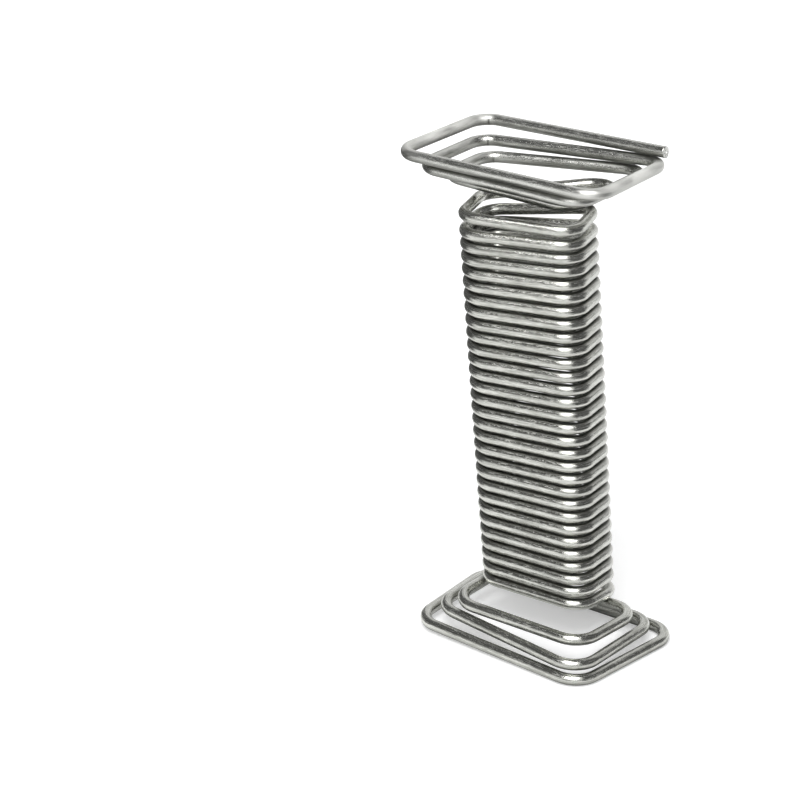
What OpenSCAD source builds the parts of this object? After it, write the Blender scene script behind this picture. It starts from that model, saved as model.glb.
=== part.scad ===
// Shaped spring: one length of round wire, wound left-handed into a close column of
// oblong turns, with three wider turns spread out at each end as a head and a foot.
// Millimetres. Z is up, the foot rests on z = 0, X runs along the long side of the turns.

/* [Wire] */
// diameter of the drawn wire
wire_d = 1.2; // [0.9:0.02:1.24]
// how much thinner the wire is drawn out in its bends
bend_neck = 0.02; // [0.01:0.01:0.05]
// slant of the sheared wire ends, in degrees
cut_slant = 12; // [0:1:30]

/* [Coil column] */
// close turns between the head and the foot
coil_turns = 30; // [6:1:40]
// rise of each close turn
coil_pitch = 1.39; // [1.35:0.01:1.8]
// long side of a close turn, between wire centres
coil_l = 12.2; // [9:0.1:13.4]
// short side of a close turn, between wire centres
coil_w = 7; // [5.5:0.1:8.5]
// bend radius of the close turns, to the wire's centre
coil_bend = 2.1; // [1.2:0.1:2.6]
// lean of the column towards +X, in degrees
coil_lean_x = -3.4; // [-5:0.1:-1.6]
// lean of the column towards +Y, in degrees
coil_lean_y = -1.7; // [-3:0.1:1]
// turn of the close windings in plan at the foot, in degrees
foot_twist = 2.3; // [-2:0.1:8]
// turn of the close windings in plan at the head, in degrees
head_twist = 15.8; // [8:0.1:18]

/* [Head turns] */
// long side of the outermost head turn, between wire centres
head_l = 23.5; // [19:0.1:28.2]
// short side of the outermost head turn, between wire centres
head_w = 13.7; // [12:0.1:16.4]
// long side of the innermost head turn, between wire centres
head_in_l = 15.2; // [13:0.1:18]
// short side of the innermost head turn, between wire centres
head_in_w = 9.9; // [8.5:0.1:11]
// rise of each head turn
head_pitch = 1.32; // [1.3:0.01:1.6]
// bend radius of the head turns
head_bend = 2.3; // [1.4:0.1:3]

/* [Foot turns] */
// long side of the outermost foot turn, between wire centres
foot_l = 22.5; // [20:0.1:28]
// short side of the outermost foot turn, between wire centres
foot_w = 14.1; // [13.2:0.1:17]
// long side of the innermost foot turn, between wire centres
foot_in_l = 15.7; // [15:0.1:18]
// short side of the innermost foot turn, between wire centres
foot_in_w = 9.9; // [9:0.1:11]
// rise of each foot turn
foot_pitch = 1.4; // [1.35:0.01:1.6]
// bend radius of the foot turns
foot_bend = 2.6; // [1.4:0.1:3]

/* [Hidden] */
$fn = 32;
END_TURNS = 3;
// The end turns as they were wound, outermost head turn first: centre x and y, the swing of
// the back, left, front and right leg in degrees, then how much longer it is than an even fan.
HEAD_WOUND = [
    [-3.75, 4.15, 0.5, 4.5, 0, -3, 0.1],
    [-3.9, 3.85, 9, 3, -0.5, -2.5, 0],
    [-4.25, 4.55, 18, 0.5, -1, -3.5, 0]
];
FOOT_WOUND = [
    [2.65, -2.1, 0, 4.5, 0.5, 3.5, 0.2],
    [2.22, -2.28, 4.25, 1.4, -7.4, 0.65, 0.1],
    [1.9, -2.14, 2.65, -0.6, -3.5, 7.75, -0.2]
];
// Tilts along X and along Y, in degrees: of the close windings where the column starts
// and ends, of the head turns, and of each foot turn (the lowest lies flat).
COIL_FOOT_TILT = [0.9, 2.3];
COIL_HEAD_TILT = [2.7, 1.7];
HEAD_TILT = [1.9, -0.8];
FOOT_TILT = [[0.3, 0.5], [-0.4, 0.3], [0, 0]];
// how far the column sits down into the foot, and how far the head stands clear of the column
FOOT_SINK = 0.25;
HEAD_LIFT = 0.3;
// height error of the corners where the wire goes over from the head into the column, the
// first of them the left corner of the innermost head turn
LEAD_IN = [0.25, 0, -0.28, 0, 0.5, 0.05, 0.5, -0.25, 0, 0, 0, -0.12];
// how far the last corner of the column is drawn out and down on its way into the foot
LEAD_OUT = [0.25, 0, -0.3];
// corners of the lowest turn that lie at floor height
FLAT_CORNERS = 1;
// where the wire starts at the head, and how far it stands above an even winding
HEAD_END = [7.8, 10.6];
HEAD_END_RISE = 0.7;
// how far the last leg runs past the turn above it along X and along Y
FOOT_END = [0.4, 1.3];
// height at which the column's axis crosses the Z axis of the winding
LEAN_PIVOT = 25;
// length of leg that laps into each bend
LAP = 0.05;
// size of the shears' bite, in wire diameters
SHEAR_REACH = 4;

// corners run back left, front left, front right, back right, counter-clockwise and downwards
SIDES = [[-1, 1], [-1, -1], [1, -1], [1, 1]];
TURNS = coil_turns + 2 * END_TURNS;
CORNERS = 4 * TURNS;
COIL_FIRST = 4 * END_TURNS;
LEAD_FIRST = COIL_FIRST - 3;
COIL_LAST = CORNERS - COIL_FIRST - 1;
COIL_FOOT_Z = wire_d / 2 + (COIL_FIRST - FLAT_CORNERS) * foot_pitch / 4 - FOOT_SINK;
COIL_HEAD_Z = COIL_FOOT_Z + (COIL_LAST - COIL_FIRST + 1) * coil_pitch / 4;

function unit(v) = v / norm(v);
function lead_in(i) = i >= LEAD_FIRST && i < LEAD_FIRST + len(LEAD_IN) ? LEAD_IN[i - LEAD_FIRST] : 0;
function mix(a, b, t) = a + (b - a) * t;
function slope(angles, x, y) = x * tan(angles[0]) + y * tan(angles[1]);

// one corner of an end turn: its side of the oblong, moved by the swing of both legs
function wound_corner(row, l, w, side) = let (
    swing_end = side[1] > 0 ? row[2] : row[4],
    swing_side = side[0] < 0 ? row[3] : row[5],
    half_l = (l + row[6]) / 2,
    half_w = w / 2
) [
    row[0] + side[0] * half_l + side[1] * half_w * tan(swing_side),
    row[1] + side[1] * half_w + side[0] * half_l * tan(swing_end)
];

function head_corner(i) = let (
    t = floor(i / 4),
    f = (END_TURNS - 1 - t) / (END_TURNS - 1),
    row = HEAD_WOUND[t],
    p = wound_corner(row, mix(head_in_l, head_l, f), mix(head_in_w, head_w, f), SIDES[i % 4]),
    z = COIL_HEAD_Z + HEAD_LIFT + (COIL_FIRST - i) * head_pitch / 4
) [p[0], p[1], z + slope(HEAD_TILT, p[0] - row[0], p[1] - row[1]) + lead_in(i)];

function foot_corner(i) = let (
    t = floor((i - COIL_LAST - 1) / 4),
    f = t / (END_TURNS - 1),
    row = FOOT_WOUND[t],
    p = wound_corner(row, mix(foot_in_l, foot_l, f), mix(foot_in_w, foot_w, f), SIDES[i % 4]),
    z = wire_d / 2 + max(0, CORNERS - 1 - i - FLAT_CORNERS) * foot_pitch / 4
) [p[0], p[1], z + slope(FOOT_TILT[t], p[0] - row[0], p[1] - row[1])];

function coil_corner(i) = let (
    up = (COIL_LAST - i) / (COIL_LAST - COIL_FIRST),
    z = COIL_FOOT_Z + (COIL_LAST + 1 - i) * coil_pitch / 4,
    a = mix(foot_twist, head_twist, up),
    x0 = SIDES[i % 4][0] * coil_l / 2,
    y0 = SIDES[i % 4][1] * coil_w / 2,
    x = x0 * cos(a) - y0 * sin(a),
    y = x0 * sin(a) + y0 * cos(a)
) [
    x + (z - LEAN_PIVOT) * tan(coil_lean_x),
    y + (z - LEAN_PIVOT) * tan(coil_lean_y),
    z + slope(mix(COIL_FOOT_TILT, COIL_HEAD_TILT, up), x, y) + lead_in(i)
] + (i == COIL_LAST ? LEAD_OUT : [0, 0, 0]);

function corner(i) =
    i < COIL_FIRST ? head_corner(i) :
    i > COIL_LAST ? foot_corner(i) :
    coil_corner(i);

// the wire's centre line: cut end, every corner, cut end
FIRST = head_corner(0);
LAST = foot_corner(CORNERS - 4);
PATH = [
    [HEAD_END[0], HEAD_END[1], FIRST[2] + head_pitch / 4 + HEAD_END_RISE],
    for (i = [0:CORNERS - 1]) corner(i),
    [LAST[0] + FOOT_END[0], LAST[1] + FOOT_END[1], wire_d / 2]
];
LEGS = len(PATH) - 1;
AIM = [for (i = [0:LEGS - 1]) unit(PATH[i + 1] - PATH[i])];

// bend i joins leg i to leg i + 1
BEND_ANGLE = [for (i = [0:LEGS - 2]) acos(AIM[i] * AIM[i + 1])];
BEND_R = [for (i = [0:LEGS - 2])
    i < COIL_FIRST ? head_bend :
    i > COIL_LAST ? foot_bend :
    coil_bend];
SETBACK = [for (i = [0:LEGS - 2]) BEND_R[i] * tan(BEND_ANGLE[i] / 2)];
BEND_AXIS = [for (i = [0:LEGS - 2]) unit(cross(AIM[i], AIM[i + 1]))];
INWARD = [for (i = [0:LEGS - 2]) cross(BEND_AXIS[i], AIM[i])];
BEND_CENTRE = [for (i = [0:LEGS - 2])
    PATH[i + 1] - AIM[i] * SETBACK[i] + INWARD[i] * BEND_R[i]];

// how far the wire reaches in plan: its two ends and places all round every bend
REACH = [
    PATH[0],
    PATH[LEGS],
    for (i = [0:LEGS - 2], part = [0:0.125:1])
        let (a = BEND_ANGLE[i] * part)
            BEND_CENTRE[i] + (AIM[i] * sin(a) - INWARD[i] * cos(a)) * BEND_R[i]
];
REACH_X = [for (p = REACH) p[0]];
REACH_Y = [for (p = REACH) p[1]];
MIDDLE = [(min(REACH_X) + max(REACH_X)) / 2, (min(REACH_Y) + max(REACH_Y)) / 2, 0];

// places children with their X, Y and Z axes along x, y and z
module frame(x, y, z, p)
    multmatrix([
        [x[0], y[0], z[0], p[0]],
        [x[1], y[1], z[1], p[1]],
        [x[2], y[2], z[2], p[2]],
        [0, 0, 0, 1]
    ])
        children();

// straight wire between two bends, lapping a little way into each
module leg(i) {
    from = i == 0 ? 0 : SETBACK[i - 1] - LAP;
    to = i == LEGS - 1 ? 0 : SETBACK[i] - LAP;
    length = norm(PATH[i + 1] - PATH[i]) - from - to;
    x = unit(cross([0, 0, 1], AIM[i]));
    frame(x, cross(AIM[i], x), AIM[i], PATH[i] + AIM[i] * from)
        difference() {
            cylinder(h = length, d = wire_d);
            if (i == 0) shear();
            if (i == LEGS - 1) translate([0, 0, length]) mirror([0, 0, 1]) shear();
        }
}

// what the shears take off a wire end
module shear() {
    block = SHEAR_REACH * wire_d;
    rotate([0, cut_slant, 0])
        translate([-block / 2, -block / 2, -block])
            cube(block);
}

// arc of wire that turns leg i into leg i + 1
module bend(i)
    frame(-INWARD[i], AIM[i], BEND_AXIS[i], BEND_CENTRE[i])
        rotate_extrude(angle = BEND_ANGLE[i])
            translate([BEND_R[i], 0])
                circle(d = wire_d - bend_neck);

// the legs and bends of one turn
module turn(t)
    for (i = [4 * t:min(4 * t + 3, LEGS - 1)]) {
        leg(i);
        if (i < LEGS - 1) bend(i);
    }

// the whole wire, stood over the middle of its own plan
module spring()
    color("silver")
        translate(-MIDDLE)
            for (t = [0:TURNS]) turn(t);

spring();
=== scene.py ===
import math
import bpy
import numpy as np
from mathutils import Matrix, Vector


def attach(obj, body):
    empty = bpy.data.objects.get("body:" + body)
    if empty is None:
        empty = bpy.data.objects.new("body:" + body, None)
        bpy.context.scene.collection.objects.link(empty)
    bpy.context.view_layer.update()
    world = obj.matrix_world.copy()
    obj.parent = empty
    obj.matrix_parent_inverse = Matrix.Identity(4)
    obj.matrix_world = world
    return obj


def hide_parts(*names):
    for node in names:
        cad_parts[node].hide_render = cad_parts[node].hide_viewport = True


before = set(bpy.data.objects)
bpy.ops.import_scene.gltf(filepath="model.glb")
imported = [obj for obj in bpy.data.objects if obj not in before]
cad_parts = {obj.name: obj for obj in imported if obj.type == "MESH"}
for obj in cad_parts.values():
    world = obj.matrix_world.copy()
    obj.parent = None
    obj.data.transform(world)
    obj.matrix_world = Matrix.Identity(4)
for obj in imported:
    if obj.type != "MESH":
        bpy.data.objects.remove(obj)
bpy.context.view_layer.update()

MM = 0.001

# The camera
# angles in degrees, distance and height in millimetres, focal length in pixels of the 800-pixel frame
AZ, DIST, CAM_Z, PAN, TILT, ROLL, FOCAL_PX = 34.377, 315.922, 165.058, -2.569, 23.873, -0.2, 3378.89
MIDDLE = np.array([-1.11606, 0.57403, 0.0])          # the winding's plan middle


def make_camera():
    a, p, t, r = (math.radians(v) for v in (AZ, PAN, TILT, ROLL))
    vd = np.array([-math.sin(a), math.cos(a), 0])
    vr = np.array([math.cos(a), math.sin(a), 0])
    pos = -vd * DIST + np.array([0, 0, CAM_Z]) - MIDDLE
    h = math.cos(p) * vd + math.sin(p) * vr
    right = math.cos(p) * vr - math.sin(p) * vd
    fwd = h * math.cos(t) - np.array([0, 0, 1]) * math.sin(t)
    up = np.cross(right, fwd)
    right, up = math.cos(r) * right + math.sin(r) * up, math.cos(r) * up - math.sin(r) * right
    data = bpy.data.cameras.new("camera")
    cam = bpy.data.objects.new("camera", data)
    bpy.context.scene.collection.objects.link(cam)
    data.sensor_fit = 'HORIZONTAL'
    data.sensor_width = 36
    data.lens = FOCAL_PX / 800 * 36
    data.clip_start = 0.01
    data.clip_end = 20
    m = Matrix([[right[i], up[i], -fwd[i], pos[i] * MM] for i in range(3)] + [[0, 0, 0, 1]])
    cam.matrix_world = m
    bpy.context.scene.camera = cam
    return vd, vr


VIEW_DIR, VIEW_RIGHT = make_camera()

# The studio's values
# radiance of the room's unlit parts, of the low surround, of the left wall and of the sweep behind
ROOM, SURROUND, LEFT_WALL, SWEEP = 0.14, 0.18, 0.77, 0.57
LEFT_SIDE, SWEEP_SIDE = (-75, 0), (168, 13)  # azimuth from the camera's side, elevation
KEY, KEY_ANGLE, KEY_SIDE = 1.6, 34, (-10, 61)  # the key light's strength, width and side
GLOW, GLOW_SIDE = 1.7, (-6, 35)              # the light's spill below it
FILL, FILL_ANGLE, FILL_SIDE = 0.95, 110, (-65, 60)
CARDS = {"card_right": (26, 98), "card_left": (-156, -84)}  # the azimuths that each black card covers
CARD_FAR, CARD_HIGH, CARD_STRIPS = 0.058, 0.075, 12    # distance and height in metres, flat strips
FLOOR_HALF = 3                               # metres
FLOOR_LIFT, MIRRORED_LIFT = 0.37, 0.10       # added to the floor for the camera and for reflections

# The wire's centre line
# the same winding as the CAD part's, in millimetres
WIRE_D = 1.2
CUT_SLANT = 12           # degrees, of the sheared ends
COIL_TURNS, COIL_PITCH, COIL_L, COIL_W, COIL_BEND = 30, 1.39, 12.2, 7.0, 2.1
COIL_LEAN = (-3.4, -1.7)
FOOT_TWIST, HEAD_TWIST = 2.3, 15.8
HEAD_L, HEAD_W, HEAD_IN_L, HEAD_IN_W, HEAD_PITCH, HEAD_BEND = 23.5, 13.7, 15.2, 9.9, 1.32, 2.3
FOOT_L, FOOT_W, FOOT_IN_L, FOOT_IN_W, FOOT_PITCH, FOOT_BEND = 22.5, 14.1, 15.7, 9.9, 1.4, 2.6
END_TURNS = 3
HEAD_WOUND = [[-3.75, 4.15, 0.5, 4.5, 0, -3, 0.1], [-3.9, 3.85, 9, 3, -0.5, -2.5, 0],
              [-4.25, 4.55, 18, 0.5, -1, -3.5, 0]]
FOOT_WOUND = [[2.65, -2.1, 0, 4.5, 0.5, 3.5, 0.2], [2.22, -2.28, 4.25, 1.4, -7.4, 0.65, 0.1],
              [1.9, -2.14, 2.65, -0.6, -3.5, 7.75, -0.2]]
COIL_FOOT_TILT, COIL_HEAD_TILT, HEAD_TILT = (0.9, 2.3), (2.7, 1.7), (1.9, -0.8)
FOOT_TILT = [(0.3, 0.5), (-0.4, 0.3), (0, 0)]
FOOT_SINK, HEAD_LIFT = 0.25, 0.3
LEAD_IN = [0.25, 0, -0.28, 0, 0.5, 0.05, 0.5, -0.25, 0, 0, 0, -0.12]
LEAD_OUT = (0.25, 0, -0.3)
FLAT_CORNERS = 1
HEAD_END, HEAD_END_RISE, FOOT_END, LEAN_PIVOT = (7.8, 10.6), 0.7, (0.4, 1.3), 25
SIDES = [(-1, 1), (-1, -1), (1, -1), (1, 1)]
TURNS = COIL_TURNS + 2 * END_TURNS
CORNERS = 4 * TURNS
COIL_FIRST = 4 * END_TURNS
LEAD_FIRST = COIL_FIRST - 3
COIL_LAST = CORNERS - COIL_FIRST - 1
COIL_FOOT_Z = WIRE_D / 2 + (COIL_FIRST - FLAT_CORNERS) * FOOT_PITCH / 4 - FOOT_SINK
COIL_HEAD_Z = COIL_FOOT_Z + (COIL_LAST - COIL_FIRST + 1) * COIL_PITCH / 4


def tan(d):
    return math.tan(math.radians(d))


def mix(a, b, t):
    return a + (b - a) * t


def wound(row, l, w, side):
    swing_end = row[2] if side[1] > 0 else row[4]
    swing_side = row[3] if side[0] < 0 else row[5]
    half_l, half_w = (l + row[6]) / 2, w / 2
    return (row[0] + side[0] * half_l + side[1] * half_w * tan(swing_side),
            row[1] + side[1] * half_w + side[0] * half_l * tan(swing_end))


def lead_in(i):
    k = i - LEAD_FIRST
    return LEAD_IN[k] if 0 <= k < len(LEAD_IN) else 0


def corner(i):
    side = SIDES[i % 4]
    if i < COIL_FIRST:
        t = i // 4
        f = (END_TURNS - 1 - t) / (END_TURNS - 1)
        row = HEAD_WOUND[t]
        x, y = wound(row, mix(HEAD_IN_L, HEAD_L, f), mix(HEAD_IN_W, HEAD_W, f), side)
        z = COIL_HEAD_Z + HEAD_LIFT + (COIL_FIRST - i) * HEAD_PITCH / 4
        return x, y, z + (x - row[0]) * tan(HEAD_TILT[0]) + (y - row[1]) * tan(HEAD_TILT[1]) + lead_in(i)
    if i > COIL_LAST:
        t = (i - COIL_LAST - 1) // 4
        f = t / (END_TURNS - 1)
        row = FOOT_WOUND[t]
        x, y = wound(row, mix(FOOT_IN_L, FOOT_L, f), mix(FOOT_IN_W, FOOT_W, f), side)
        z = WIRE_D / 2 + max(0, CORNERS - 1 - i - FLAT_CORNERS) * FOOT_PITCH / 4
        return x, y, z + (x - row[0]) * tan(FOOT_TILT[t][0]) + (y - row[1]) * tan(FOOT_TILT[t][1])
    up = (COIL_LAST - i) / (COIL_LAST - COIL_FIRST)
    z = COIL_FOOT_Z + (COIL_LAST + 1 - i) * COIL_PITCH / 4
    a = math.radians(mix(FOOT_TWIST, HEAD_TWIST, up))
    x0, y0 = side[0] * COIL_L / 2, side[1] * COIL_W / 2
    x, y = x0 * math.cos(a) - y0 * math.sin(a), x0 * math.sin(a) + y0 * math.cos(a)
    tx, ty = (mix(COIL_FOOT_TILT[j], COIL_HEAD_TILT[j], up) for j in (0, 1))
    out = LEAD_OUT if i == COIL_LAST else (0, 0, 0)
    return (x + (z - LEAN_PIVOT) * tan(COIL_LEAN[0]) + out[0],
            y + (z - LEAN_PIVOT) * tan(COIL_LEAN[1]) + out[1],
            z + x * tan(tx) + y * tan(ty) + lead_in(i) + out[2])


first, last = corner(0), corner(CORNERS - 4)
PATH = [(HEAD_END[0], HEAD_END[1], first[2] + HEAD_PITCH / 4 + HEAD_END_RISE)]
PATH += [corner(i) for i in range(CORNERS)]
PATH.append((last[0] + FOOT_END[0], last[1] + FOOT_END[1], WIRE_D / 2))
PATH = np.array(PATH) - MIDDLE
LEGS = len(PATH) - 1
AIM = [(PATH[i + 1] - PATH[i]) / np.linalg.norm(PATH[i + 1] - PATH[i]) for i in range(LEGS)]


def bend_radius(i):
    return HEAD_BEND if i < COIL_FIRST else FOOT_BEND if i > COIL_LAST else COIL_BEND


STATION_STEP, BEND_STEPS = 1.2, 12           # mm along a leg, steps round a bend
END_STATION = 0.2                            # mm from a cut end; keeps the round shading off the cut


def stations():
    """Points along the wire, each with its direction and its place, as scuff_and_shade_along counts places."""
    out = []
    at = PATH[0]
    for i in range(LEGS):
        if i < LEGS - 1:
            ang = math.acos(max(-1, min(1, float(AIM[i] @ AIM[i + 1]))))
            r = bend_radius(i)
            back = r * math.tan(ang / 2)
            end = PATH[i + 1] - AIM[i] * back
        else:
            end = PATH[-1]
        n = max(2, int(np.linalg.norm(end - at) / STATION_STEP))
        for k in range(n):
            out.append((at + (end - at) * k / n, AIM[i], i - 0.25 + 0.5 * k / n))
            if i == k == 0:
                out.append((at + AIM[i] * END_STATION, AIM[i], 0))
        if i == LEGS - 1:
            out.append((end - AIM[i] * END_STATION, AIM[i], i))
            out.append((end, AIM[i], i))
            break
        axis = np.cross(AIM[i], AIM[i + 1])
        axis /= np.linalg.norm(axis)
        inward = np.cross(axis, AIM[i])
        centre = end + inward * r
        for k in range(BEND_STEPS):
            b = ang * k / BEND_STEPS
            out.append((centre + r * (AIM[i] * math.sin(b) - inward * math.cos(b)),
                        AIM[i] * math.cos(b) + inward * math.sin(b), i + 0.25 + 0.5 * k / BEND_STEPS))
        at = PATH[i + 1] + AIM[i + 1] * back
    return out


# matt scuffing by handling and painted shade on the underside, for each leg from leg 0 at the head's cut end,
# and for the four sides (back, left, front, right) of the column's and the foot's turns
HEAD_SCUFF = (0.4, 1.18, 0.4, 1.18, 0.3, 0.8, 0.45, 0.8, 0.4, 0.8, 0.4, 0.4)
# painted shade under each of the head's legs
HEAD_UNDER_SHADE = (1.1, 1.1, 0.9, 0.1, 1.15, 1.0, 0.9, 0.4, 1.15, 1.0, 0.9, 0.6)
COIL_SCUFF = (0.15, 0.2, 0.0, 0.1)
# painted shade under the column's right sides
COIL_UNDER_SHADE = (0, 0, 0, 0.4)
TOP_UNDER_SHADE, TOP_LEGS = 0.6, 24                # painted shade on the topmost close turn, below the head, and the legs over which it fades
COIL_CORNER_SCUFF = 0.62                     # on the back-right bends
FOOT_SCUFF = (0.0, 0.4, 0.0, 0.1)
# painted shade under the foot's turns, standing for their own contact shadow
FOOT_UNDER_SHADE = (1.3, 0.8, 0.95, 1.1)


def scuff_and_shade_along():
    """Scuffing and painted underside shade at places along the wire; place i is leg i, i + 0.5 the bend after
    it.
    """
    rows = []
    for i in range(LEGS):
        side = i % 4
        if i < len(HEAD_SCUFF):
            rows.append((i, HEAD_SCUFF[i], HEAD_UNDER_SHADE[i]))
        elif i > COIL_LAST + 1:
            rows.append((i, FOOT_SCUFF[side], FOOT_UNDER_SHADE[side]))
        else:
            top = max(0, 1 - (i - COIL_FIRST) / TOP_LEGS)
            rows.append((i, COIL_SCUFF[side], max(TOP_UNDER_SHADE * top, COIL_UNDER_SHADE[side])))
            if side == 3:
                rows += [(i + 0.25, COIL_CORNER_SCUFF, 0), (i + 0.6, COIL_CORNER_SCUFF, 0)]
    return np.array(rows).T


ROUND = 28               # vertices round the wire
REACH = 2.2              # mm round a point in which other turns are looked for
OWN_LENGTH = 6           # mm of wire on either side of a point that count as its own turn
GROOVE_OPEN, GROOVE_FADE = 0.60, 0.40        # mm to the next turn where a groove's painted shade begins, and to its full depth
MARK_BACK = 0.6          # mm from a bend's corner back to the bending tool's mark
NO_MARK = 9              # mm, further than any mark shows
CAP_RINGS = (0.9, 0.62, 0.3)
CAP_DENT, CAP_ROUGH = 0.02, 0.07             # mm, depth of the sheared faces and its unevenness


def closeness(at, s_at, ring, s, under_shade):
    """How deep each point of a ring lies in painted shade, 0 to 1: in the groove between two turns and on the
    wire's underside.
    """
    centre = ring.mean(0)
    drop = (centre[2] - ring[:, 2]) / (WIRE_D / 2)
    # painted shade on the lower part of the wire, as strong as the leg's value
    shade_below = np.clip((drop + 0.1) / 0.7, 0, 1) * min(1, under_shade)
    shade_below = np.maximum(shade_below, np.clip((drop + 0.4) / 0.8, 0, 1) * max(0, under_shade - 0.8) * 3)
    shade_below = np.minimum(shade_below, 1)
    # painted shade in the groove, where another turn comes close
    near = np.where((np.abs(s_at - s) > OWN_LENGTH) & (np.linalg.norm(at - centre, axis=1) < REACH))[0]
    near = near[near + 1 < len(at)]
    if not len(near):
        return shade_below
    a, b = at[near], at[near + 1]
    ab = b - a
    t = np.clip(((ring[:, None] - a) * ab).sum(2) / (ab * ab).sum(1), 0, 1)
    gap = np.linalg.norm(ring[:, None] - a - ab * t[..., None], axis=2).min(1) - WIRE_D / 2
    return np.maximum(shade_below, np.clip((GROOVE_OPEN - gap) / GROOVE_FADE, 0, 1))


def build_wire():
    st = stations()
    at = np.array([p for p, _, _ in st])
    s_at = np.concatenate([[0], np.cumsum(np.linalg.norm(np.diff(at, axis=0), axis=1))])
    # the bends at the back left of the head turns carry a mark of the bending tool, whose dark colour also
    # paints a dark reflection
    marks = [s_at[np.linalg.norm(at - PATH[i], axis=1).argmin()] - MARK_BACK for i in (1, 5, 9)]
    places, scuffs, under_shades = scuff_and_shade_along()
    scuffed = np.interp([w for _, _, w in st], places, scuffs)
    under_shaded = np.interp([w for _, _, w in st], places, under_shades)
    slope = tan(CUT_SLANT)
    turn = [2 * math.pi * k / ROUND for k in range(ROUND)]
    verts, faces, wire, shade_and_wear = [], [], [], []

    def ring(p, d, s, size, inward=None, depth=None):
        up = np.array([0, 0, 1.0]) - d * d[2]
        up /= np.linalg.norm(up)
        side = np.cross(d, up)
        pts = []
        for k, b in enumerate(turn):
            off = (up * math.cos(b) + side * math.sin(b)) * size * WIRE_D / 2
            if inward is not None:
                off = off + inward * (max(0, math.sin(b)) * size * WIRE_D / 2 * slope + depth[k])
            pts.append(p + off)
            wire.append((s, math.cos(b) * size, math.sin(b) * size))
        pts = np.array(pts)
        verts.extend(tuple(v * MM) for v in pts)
        return pts

    flush = [0.0] * ROUND
    for j, (p, d, _) in enumerate(st):
        end = d if j == 0 else -d if j == len(st) - 1 else None
        pts = ring(p, d, s_at[j], 1, end, flush)
        mark = min(abs(s_at[j] - m) for m in marks)
        # per point: painted shade depth, distance to the bending tool's mark, scuffing
        shade_and_wear.extend((g, mark, scuffed[j]) for g in closeness(at, s_at, pts, s_at[j], under_shaded[j]))
    rings = len(st)
    for j in range(rings - 1):
        for k in range(ROUND):
            a, b = j * ROUND + k, j * ROUND + (k + 1) % ROUND
            faces.append((a, b, b + ROUND, a + ROUND))
    smooth = len(faces)
    # sheared ends: a dented face inside a turned-in rim
    rng = np.random.default_rng(11)
    for j, flip in ((0, True), (rings - 1, False)):
        p, d, _ = st[j]
        outer = j * ROUND
        for size in CAP_RINGS:
            start = len(verts)
            dents = CAP_DENT + CAP_ROUGH * rng.random(ROUND) * (1.15 - size)
            ring(p, d, s_at[j], size, d if j == 0 else -d, dents)
            shade_and_wear.extend((-1, NO_MARK, 0.3) for _ in range(ROUND))
            for k in range(ROUND):
                n = (k + 1) % ROUND
                quad = (outer + k, outer + n, start + n, start + k)
                faces.append(quad if not flip else quad[::-1])
            outer = start
        mid = tuple(outer + k for k in range(ROUND))
        faces.append(mid if not flip else mid[::-1])
    me = bpy.data.meshes.new("wound_wire")
    me.from_pydata(verts, [], faces)
    for name, values in (("wire", wire), ("shade_and_wear", shade_and_wear)):
        attribute = me.attributes.new(name, 'FLOAT_VECTOR', 'POINT')
        attribute.data.foreach_set("vector", np.array(values, dtype=np.float32).ravel())
    me.polygons.foreach_set("use_smooth", [i < smooth for i in range(len(faces))])
    me.validate()
    me.update()
    ob = bpy.data.objects.new("wound_wire", me)
    bpy.context.scene.collection.objects.link(ob)
    return ob


wire = build_wire()
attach(wire, "root")
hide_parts("spring")


# Materials
def new_material(name):
    m = bpy.data.materials.new(name)
    m.use_nodes = True
    return m, m.node_tree


class Tree:
    """Short names for the nodes that the materials are built from."""

    def __init__(self, tree):
        self.n, self.l = tree.nodes, tree.links

    def node(self, kind, **values):
        nd = self.n.new(kind)
        for k, v in values.items():
            setattr(nd, k, v)
        return nd

    def link(self, a, b):
        self.l.new(a, b)

    def scaled(self, vector, scale, shift=(0, 0, 0)):
        nd = self.node("ShaderNodeMapping")
        nd.inputs["Scale"].default_value = scale
        nd.inputs["Location"].default_value = shift
        self.link(vector, nd.inputs["Vector"])
        return nd.outputs["Vector"]

    def noise(self, vector, scale, detail=4, rough=0.6):
        nd = self.node("ShaderNodeTexNoise")
        nd.inputs["Scale"].default_value = scale
        nd.inputs["Detail"].default_value = detail
        nd.inputs["Roughness"].default_value = rough
        self.link(vector, nd.inputs["Vector"])
        return nd.outputs["Fac"]

    def ranged(self, value, lo, hi, to_lo, to_hi, smooth=False):
        nd = self.node("ShaderNodeMapRange", interpolation_type='SMOOTHSTEP' if smooth else 'LINEAR')
        for name, v in (("From Min", lo), ("From Max", hi), ("To Min", to_lo), ("To Max", to_hi)):
            nd.inputs[name].default_value = v
        self.link(value, nd.inputs["Value"])
        return nd.outputs["Result"]

    def parts(self, vector):
        nd = self.node("ShaderNodeSeparateXYZ")
        self.link(vector, nd.inputs[0])
        return nd.outputs

    def math(self, op, a, b):
        nd = self.node("ShaderNodeMath", operation=op)
        for sock, v in zip(nd.inputs, (a, b)):
            if isinstance(v, (int, float)):
                sock.default_value = v
            else:
                self.link(v, sock)
        return nd.outputs[0]

    def mix_colour(self, fac, a, b):
        nd = self.node("ShaderNodeMix", data_type='RGBA')
        self.link(fac, nd.inputs["Factor"])
        for sock, v in ((nd.inputs[6], a), (nd.inputs[7], b)):
            if isinstance(v, tuple):
                sock.default_value = (*v, 1)
            else:
                self.link(v, sock)
        return nd.outputs[2]


m_wire, tree = new_material("drawn_wire")
t = Tree(tree)
bsdf = t.n["Principled BSDF"]
wire_at = t.node("ShaderNodeAttribute", attribute_name="wire").outputs["Vector"]
# painted shade depth (-1 on the sheared faces), distance to the tool's mark, scuffing
groove, mark, scuff = t.parts(t.node("ShaderNodeAttribute", attribute_name="shade_and_wear").outputs["Vector"])
round_part = t.parts(wire_at)
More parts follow.
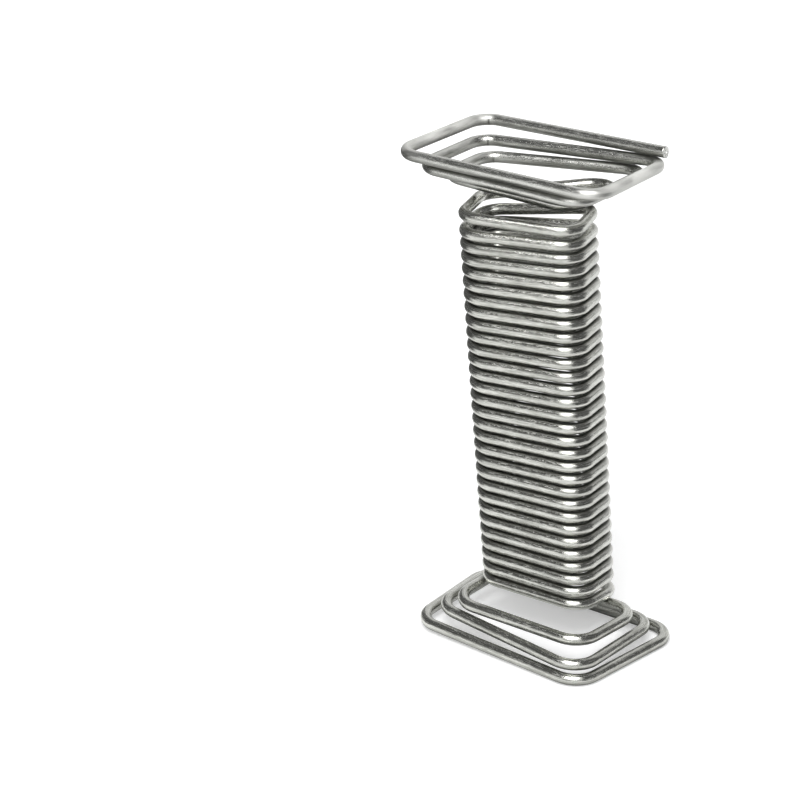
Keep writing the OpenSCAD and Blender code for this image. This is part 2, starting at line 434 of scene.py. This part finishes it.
# drawing lines: long along the wire, a few around it
streak = t.noise(t.scaled(wire_at, (0.07, 1.0, 1.0)), 4.0, 6, 0.7)
hair = t.noise(t.scaled(wire_at, (0.12, 2.6, 2.6), (31, 5, 9)), 4.0, 4, 0.6)
dash = t.noise(t.scaled(wire_at, (0.30, 1.5, 1.5), (17, 2, 4)), 4.0, 4, 0.65)
grain = t.noise(t.scaled(wire_at, (1.0, 0.8, 0.8), (5, 2, 8)), 5.0, 3, 0.6)
blotch = t.noise(t.scaled(wire_at, (0.35, 0.6, 0.6), (7, 3, 1)), 1.0, 3, 0.5)
pits = t.noise(t.scaled(wire_at, (1.0, 0.7, 0.7), (3, 8, 4)), 3.4, 2, 0.5)
pit_mask = t.ranged(pits, 0.68, 0.74, 0.0, 1.0)
tone = t.math('ADD', t.math('MULTIPLY', streak, 0.45), t.math('MULTIPLY', blotch, 0.2))
tone = t.math('ADD', tone, t.math('MULTIPLY', dash, 0.35))
tone = t.ranged(tone, 0.42, 0.575, 0.0, 1.0)
base = t.mix_colour(tone, (0.42, 0.425, 0.39), (0.80, 0.805, 0.755))
matt = t.math('MULTIPLY', scuff, t.ranged(blotch, 0.3, 0.6, 0.75, 1.1))
base = t.mix_colour(t.math('MULTIPLY', matt, 0.8), base, (0.86, 0.86, 0.83))
# painted shade: a dark colour, deepest in the grooves between turns and on the wire's underside
painted_shade = t.math('MULTIPLY', t.ranged(groove, 0.0, 1.0, 0.0, 1.0, smooth=True),
              t.ranged(streak, 0.3, 0.6, 1.0, 0.7))
base = t.mix_colour(painted_shade, base, (0.12, 0.12, 0.105))
# the bending tool's mark: a dark nick with a dent across the lower half of the wire, whose dark colour also
# paints a dark reflection on these bends
nick_and_dark_reflection = t.math('MULTIPLY', t.ranged(mark, 0.06, 0.22, 0.85, 0.0, smooth=True),
              t.ranged(round_part["Y"], 0.1, 0.6, 1.0, 0.0, smooth=True))
base = t.mix_colour(nick_and_dark_reflection, base, (0.12, 0.12, 0.11))
# the sheared ends are bare bright metal
base = t.mix_colour(t.ranged(groove, -0.5, -0.1, 1.0, 0.0), base, (0.74, 0.74, 0.71))
t.link(base, bsdf.inputs["Base Color"])
t.link(t.ranged(matt, 0.7, 1.2, 1.0, 0.35), bsdf.inputs["Metallic"])
lines = t.math('MULTIPLY', t.ranged(dash, 0.53, 0.63, 0.0, 1.0, smooth=True),
               t.ranged(blotch, 0.35, 0.65, 0.4, 1.0))
rough = t.math('ADD', t.ranged(grain, 0.3, 0.7, 0.08, 0.14), t.math('MULTIPLY', lines, 0.30))
rough = t.math('ADD', rough, t.math('MULTIPLY', pit_mask, 0.15))
# the painted shade is also rougher
rough = t.math('ADD', rough, t.math('MULTIPLY', painted_shade, 0.34))
rough = t.math('ADD', rough, t.math('MULTIPLY', t.math('MULTIPLY', matt, matt), 0.45))
t.link(rough, bsdf.inputs["Roughness"])
height = t.math('ADD', t.math('MULTIPLY', streak, 0.6), t.math('MULTIPLY', dash, 0.4))
height = t.math('ADD', height, t.math('MULTIPLY', hair, 0.15))
height = t.math('SUBTRACT', height, t.math('MULTIPLY', pit_mask, 0.15))
height = t.math('SUBTRACT', height, t.math('MULTIPLY', nick_and_dark_reflection, 0.6))
bump = t.node("ShaderNodeBump")
bump.inputs["Strength"].default_value = 0.6
bump.inputs["Distance"].default_value = 0.00006
t.link(height, bump.inputs["Height"])
t.link(bump.outputs["Normal"], bsdf.inputs["Normal"])
wire.data.materials.append(m_wire)

# the floor: pale paper, which the camera and the metal see as a white sweep
m_floor, tree = new_material("pale_floor")
t = Tree(tree)
bsdf = t.n["Principled BSDF"]
bsdf.inputs["Base Color"].default_value = (0.81, 0.815, 0.815, 1)
bsdf.inputs["Roughness"].default_value = 0.9
bsdf.inputs["Specular IOR Level"].default_value = 0.1
path = t.node("ShaderNodeLightPath")
mirrored = t.math('MAXIMUM', path.outputs["Is Glossy Ray"], path.outputs["Is Transmission Ray"])
lift = t.math('MAXIMUM', t.math('MULTIPLY', path.outputs["Is Camera Ray"], FLOOR_LIFT),
              t.math('MULTIPLY', mirrored, MIRRORED_LIFT))
bsdf.inputs["Emission Color"].default_value = (1, 1, 1, 1)
t.link(lift, bsdf.inputs["Emission Strength"])
me = bpy.data.meshes.new("floor")
me.from_pydata([(x * FLOOR_HALF, y * FLOOR_HALF, 0) for x, y in ((-1, -1), (1, -1), (1, 1), (-1, 1))],
               [], [(0, 1, 2, 3)])
floor = bpy.data.objects.new("floor", me)
bpy.context.scene.collection.objects.link(floor)
floor.data.materials.append(m_floor)


def toward(azimuth, elevation):
    """Direction from the object; azimuth 0 is the camera's side, 90 its right."""
    a, e = math.radians(azimuth), math.radians(elevation)
    h = -VIEW_DIR * math.cos(a) + VIEW_RIGHT * math.sin(a)
    return Vector(h * math.cos(e) + np.array([0, 0, math.sin(e)]))


# the dark parts of the room, which only the metal mirrors: black cards at the right front and the left back
m_card, tree = new_material("black_card")
tree.nodes["Principled BSDF"].inputs["Base Color"].default_value = (0.16, 0.16, 0.16, 1)
tree.nodes["Principled BSDF"].inputs["Roughness"].default_value = 0.9
for name, (lo, hi) in CARDS.items():
    row = CARD_STRIPS + 1
    edge = [toward(mix(lo, hi, k / CARD_STRIPS), 0) * CARD_FAR for k in range(row)]
    me = bpy.data.meshes.new(name)
    me.from_pydata([(e.x, e.y, z) for z in (0.0005, CARD_HIGH) for e in edge], [],
                   [(k, k + 1, k + 1 + row, k + row) for k in range(CARD_STRIPS)])
    card = bpy.data.objects.new(name, me)
    bpy.context.scene.collection.objects.link(card)
    card.data.materials.append(m_card)
    card.visible_camera = card.visible_shadow = card.visible_diffuse = False


# Light
def far_light(name, azimuth, elevation, strength, width):
    """A far round softbox, which lights the floor evenly; width is the angle it fills, in degrees."""
    data = bpy.data.lights.new(name, 'SUN')
    data.energy = strength
    data.angle = math.radians(width)
    ob = bpy.data.objects.new(name, data)
    bpy.context.scene.collection.objects.link(ob)
    d = toward(azimuth, elevation)
    ob.location = Vector((0, 0, 0.025)) + d * 0.6
    ob.rotation_euler = d.to_track_quat('Z', 'Y').to_euler()
    return ob


far_light("softbox_top", *KEY_SIDE, KEY, KEY_ANGLE)
# the fill stands for light from the whole pale room, and the metal mirrors the world below instead
far_light("fill", *FILL_SIDE, FILL, FILL_ANGLE).visible_glossy = False

# the room: an unlit ceiling and right front, a low pale surround, a white wall on the left and a sweep behind
world = bpy.data.worlds.new("studio")
bpy.context.scene.world = world
world.use_nodes = True
t = Tree(world.node_tree)
way = t.node("ShaderNodeTexCoord").outputs["Generated"]


def facing(side, lo, hi):
    """1 toward a side of the room, falling to 0 between the cosines hi and lo."""
    nd = t.node("ShaderNodeVectorMath", operation='DOT_PRODUCT')
    t.link(way, nd.inputs[0])
    nd.inputs[1].default_value = toward(*side)
    return t.ranged(nd.outputs["Value"], lo, hi, 0.0, 1.0, smooth=True)


low = t.ranged(t.parts(way)["Z"], 0.0, 0.34, 1.0, 0.0, smooth=True)
wall = t.math('ADD', SURROUND, t.math('MULTIPLY', facing(LEFT_SIDE, 0.62, 0.92), LEFT_WALL))
light = t.math('MAXIMUM', t.math('MULTIPLY', low, wall),
               t.math('MULTIPLY', facing(SWEEP_SIDE, 0.62, 0.79), SWEEP))
light = t.math('MAXIMUM', light, t.math('MULTIPLY', facing(GLOW_SIDE, 0.87, 0.94), GLOW))
room = t.n["Background"]
room.inputs["Color"].default_value = (1, 1, 1, 1)
t.link(t.math('ADD', ROOM, light), room.inputs["Strength"])

bpy.context.scene.view_settings.view_transform = 'Standard'
